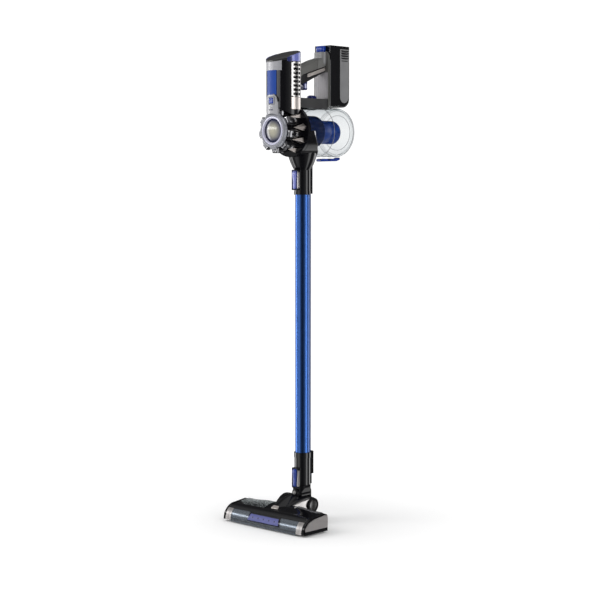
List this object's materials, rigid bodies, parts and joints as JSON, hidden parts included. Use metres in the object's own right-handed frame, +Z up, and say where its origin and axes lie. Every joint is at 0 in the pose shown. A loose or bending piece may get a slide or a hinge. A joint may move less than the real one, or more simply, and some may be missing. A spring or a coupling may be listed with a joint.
{
  "type": "cordless stick vacuum",
  "caption": "Upright cordless stick vacuum: hinged floor head with driven brush, straight blue wand, cyclone hand unit with clear bin, loop handle and rear battery.",
  "frame": {"origin": "centre of the upright vacuum's footprint box, on the floor", "axes": "+Z up along the wand, -Y towards the front of the floor head, +Y towards the handle and battery, +X to the right seen from the front"},
  "size_m": [0.258, 0.269, 1.093],
  "materials": {
    "black_gloss": "glossy black ABS",
    "black_plastic": "black moulded plastic",
    "clear_plastic": "clear polycarbonate",
    "anodised_blue": "satin anodised blue",
    "blue_plastic": "glossy blue plastic",
    "shroud_blue": "dark blue perforated",
    "silver_paint": "silver metallic paint",
    "gunmetal": "gunmetal metallic",
    "chrome": "polished",
    "mirror_trim": "tinted mirror",
    "satin_grey": "satin grey plastic",
    "dark_grey": "dark grey soft plastic",
    "speckled_deck": "white dots on dark gloss",
    "violet_lens": "tinted translucent lens",
    "circuit": "circuit board",
    "steel": "plain steel",
    "felt": "felt strip",
    "bristle": "nylon bristles",
    "rubber": "black rubber",
    "filter": "filter fleece",
    "wire": "insulated wire",
    "motor_metal": "cast aluminium",
    "cell_wrap": "wrapped cells",
    "bronze": "sintered bronze"
  },
  "bodies": {
    "floor_head": {"sole_plate": "black_plastic", "head_cover": "black_gloss", "neck_hood": "black_gloss", "pivot_caps": "silver_paint", "deck_panels": "speckled_deck", "front_visor": "gunmetal", "visor_end_bands": "silver_paint", "led_lens": "violet_lens", "led_board": "circuit", "end_caps": "black_gloss", "end_plates": "silver_paint", "floor_strips": "felt", "brush_motor": "steel", "drive_belt": "rubber", "brush_bearings": "bronze", "wheel_axles": "steel", "head_screws": "steel"},
    "brush_roll": {"brush_core": "blue_plastic", "brush_bristles": "bristle"},
    "motor_pulley": {"motor_pulley": "steel"},
    "left_wheel": {"rear_wheel_left": "rubber"},
    "right_wheel": {"rear_wheel_right": "rubber"},
    "pitch_yoke": {"pitch_yoke": "black_plastic", "roll_pins": "chrome"},
    "elbow": {"elbow_collar": "black_gloss"},
    "lower_latch": {"lower_latch": "blue_plastic"},
    "wand": {"wand_tube": "anodised_blue", "wiring_channel": "anodised_blue", "wand_wires": "wire"},
    "hand_unit": {"intake_duct": "black_gloss", "bezel_ring": "satin_grey", "mirror_dome": "mirror_trim", "cyclone_body": "black_gloss", "cone_caps": "silver_paint", "mesh_shroud": "shroud_blue", "dust_core": "blue_plastic", "motor_housing": "black_gloss", "housing_cap": "dark_grey", "front_strip": "satin_grey", "front_inlay": "blue_plastic", "vent_strips": "chrome", "fan_motor": "motor_metal", "premotor_filter": "filter", "exhaust_filter": "filter", "handle_beam": "black_plastic", "handle_grip": "dark_grey", "battery_dock": "dark_grey", "dock_bridge": "dark_grey"},
    "upper_latch": {"upper_latch": "blue_plastic"},
    "trigger": {"trigger": "blue_plastic"},
    "power_button": {"power_button": "blue_plastic"},
    "bin_release": {"bin_release": "blue_plastic"},
    "battery_release": {"battery_release": "blue_plastic"},
    "battery": {"battery_case": "black_gloss", "battery_cells": "cell_wrap", "battery_panels": "satin_grey"},
    "dust_bin": {"dust_bin": "clear_plastic"},
    "bin_lid": {"bin_lid": "clear_plastic"},
    "lid_latch": {"lid_latch": "blue_plastic"},
    "fan_rotor": {"fan_rotor": "motor_metal"}
  },
  "joints": [
    {"name": "brush_spin", "type": "hinge", "parent": "floor_head", "child": "brush_roll", "pos_m": [0, -0.0985, 0.0155], "axis": [1, 0, 0], "continuous": true},
    {"name": "pulley_spin", "type": "hinge", "parent": "floor_head", "child": "motor_pulley", "pos_m": [0, -0.0705, 0.021], "axis": [1, 0, 0], "continuous": true},
    {"name": "left_wheel_spin", "type": "hinge", "parent": "floor_head", "child": "left_wheel", "pos_m": [-0.032, 0.0135, 0.009], "axis": [1, 0, 0], "continuous": true},
    {"name": "right_wheel_spin", "type": "hinge", "parent": "floor_head", "child": "right_wheel", "pos_m": [0.032, 0.0135, 0.009], "axis": [1, 0, 0], "continuous": true},
    {"name": "neck_pitch", "type": "hinge", "parent": "floor_head", "child": "pitch_yoke", "pos_m": [0, -0.0125, 0.042], "axis": [-1, 0, 0], "range_deg": [0, 80]},
    {"name": "neck_roll", "type": "hinge", "parent": "pitch_yoke", "child": "elbow", "pos_m": [0, -0.0125, 0.067], "axis": [0, 1, 0], "range_deg": [-40, 40]},
    {"name": "wand_pull", "type": "slide", "parent": "elbow", "child": "wand", "axis": [0, 0, 1], "range_m": [0, 0.062]},
    {"name": "hand_unit_pull", "type": "slide", "parent": "wand", "child": "hand_unit", "axis": [0, 0, 1], "range_m": [0, 0.056]},
    {"name": "lower_latch_press", "type": "slide", "parent": "elbow", "child": "lower_latch", "axis": [0, 1, 0], "range_m": [0, 0.002], "stiffness_N_per_m": 800},
    {"name": "upper_latch_press", "type": "slide", "parent": "hand_unit", "child": "upper_latch", "axis": [0, 1, 0], "range_m": [0, 0.002], "stiffness_N_per_m": 800},
    {"name": "trigger_pull", "type": "slide", "parent": "hand_unit", "child": "trigger", "axis": [0, -1, 0], "range_m": [0, 0.004], "stiffness_N_per_m": 800},
    {"name": "power_press", "type": "slide", "parent": "hand_unit", "child": "power_button", "axis": [0, 1, 0], "range_m": [0, 0.001], "stiffness_N_per_m": 800},
    {"name": "bin_release_press", "type": "slide", "parent": "hand_unit", "child": "bin_release", "axis": [0, 0, -1], "range_m": [0, 0.002], "stiffness_N_per_m": 800},
    {"name": "battery_release_press", "type": "slide", "parent": "hand_unit", "child": "battery_release", "axis": [0, 0, -1], "range_m": [0, 0.002], "stiffness_N_per_m": 800},
    {"name": "battery_pull", "type": "slide", "parent": "hand_unit", "child": "battery", "axis": [0, 1, 0], "range_m": [0, 0.04]},
    {"name": "bin_pull", "type": "slide", "parent": "hand_unit", "child": "dust_bin", "axis": [0, 1, 0], "range_m": [0, 0.04]},
    {"name": "lid_swing", "type": "hinge", "parent": "dust_bin", "child": "bin_lid", "pos_m": [0, 0.1125, 0.9486], "axis": [1, 0, 0], "range_deg": [0, 90]},
    {"name": "lid_latch_press", "type": "hinge", "parent": "dust_bin", "child": "lid_latch", "pos_m": [0, 0.0795, 0.833], "axis": [-1, 0, 0], "range_deg": [0, 4], "stiffness_Nm_per_rad": 0.6},
    {"name": "fan_spin", "type": "hinge", "parent": "hand_unit", "child": "fan_rotor", "pos_m": [0, -0.0645, 0.99], "axis": [0, 0, 1], "continuous": true}
  ],
  "couplings": [
    {"joint": "pulley_spin", "follows": "brush_spin", "ratio": 1.8889}
  ]
}
